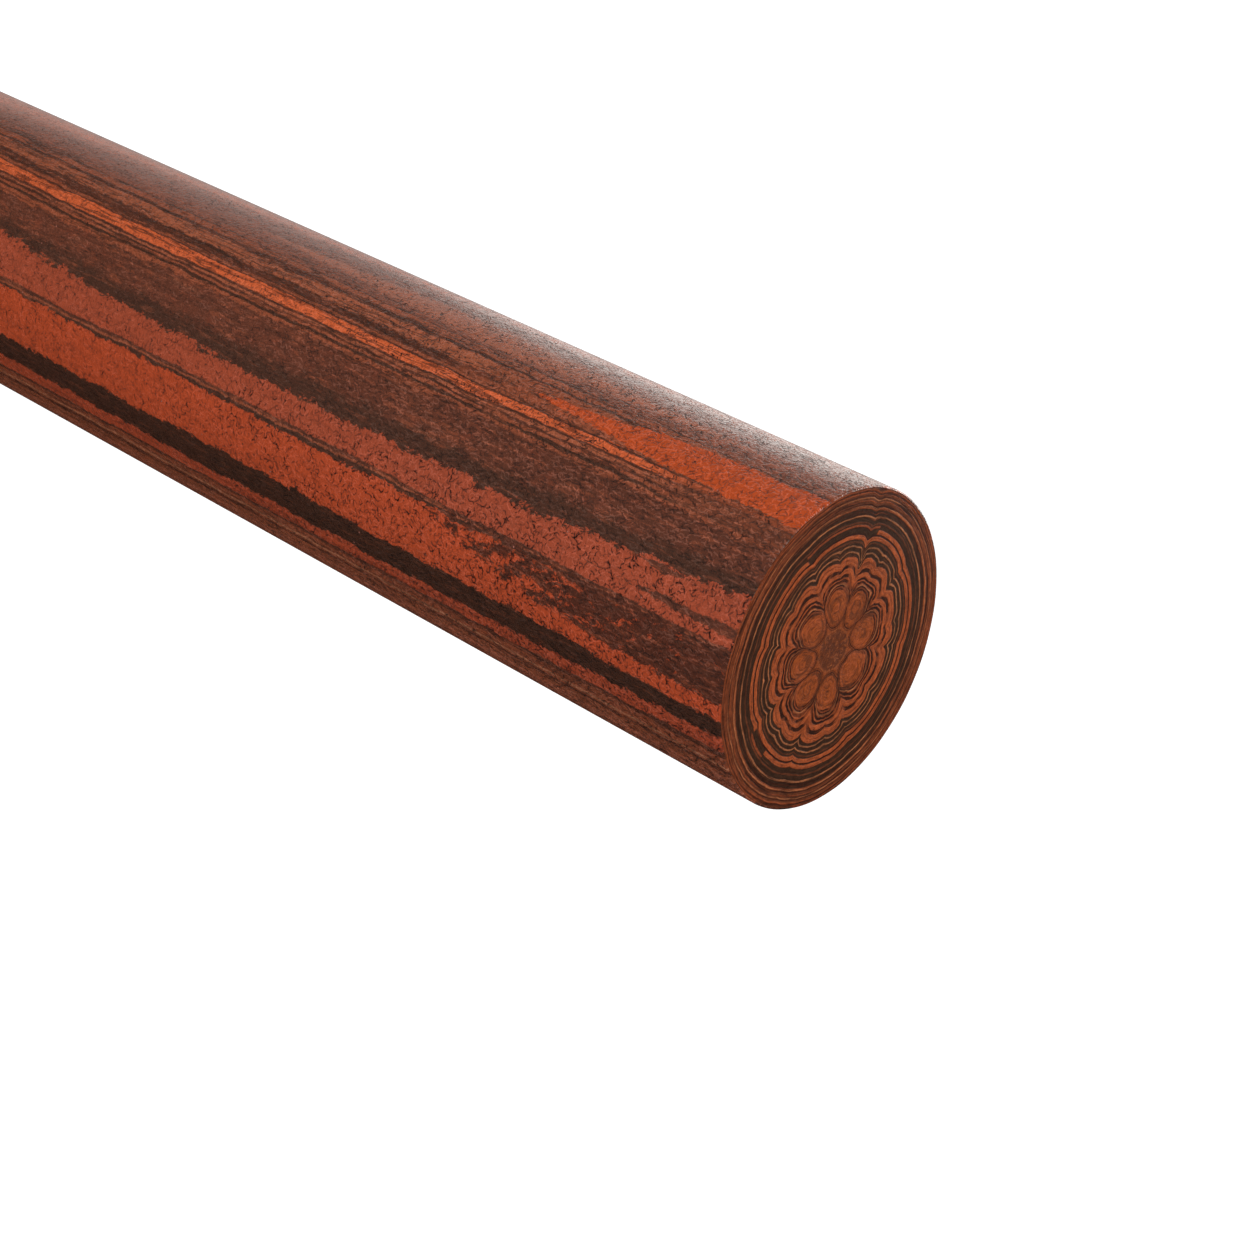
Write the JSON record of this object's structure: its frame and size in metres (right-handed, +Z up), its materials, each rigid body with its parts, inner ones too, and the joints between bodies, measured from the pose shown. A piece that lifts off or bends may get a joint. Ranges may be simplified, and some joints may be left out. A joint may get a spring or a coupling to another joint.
{
  "type": "ebonite rod",
  "caption": "Round bar of marbled hard rubber with a flower of coloured layers on its sawn ends; raw stock that is gripped on its side and turned, drilled or cut to length.",
  "frame": {"origin": "centre of the square lower end, on the level surface that the rod stands on", "axes": "+Z up along the rod's axis to the end that was sawn off square, whose face leans towards -X; -Y is the side towards the picture's camera"},
  "size_m": [0.02, 0.02, 0.15],
  "materials": {
    "marbled_ebonite": "ground satin, marbled red-brown, orange and black"
  },
  "bodies": {
    "root": {"rod": "marbled_ebonite"}
  },
  "joints": []
}
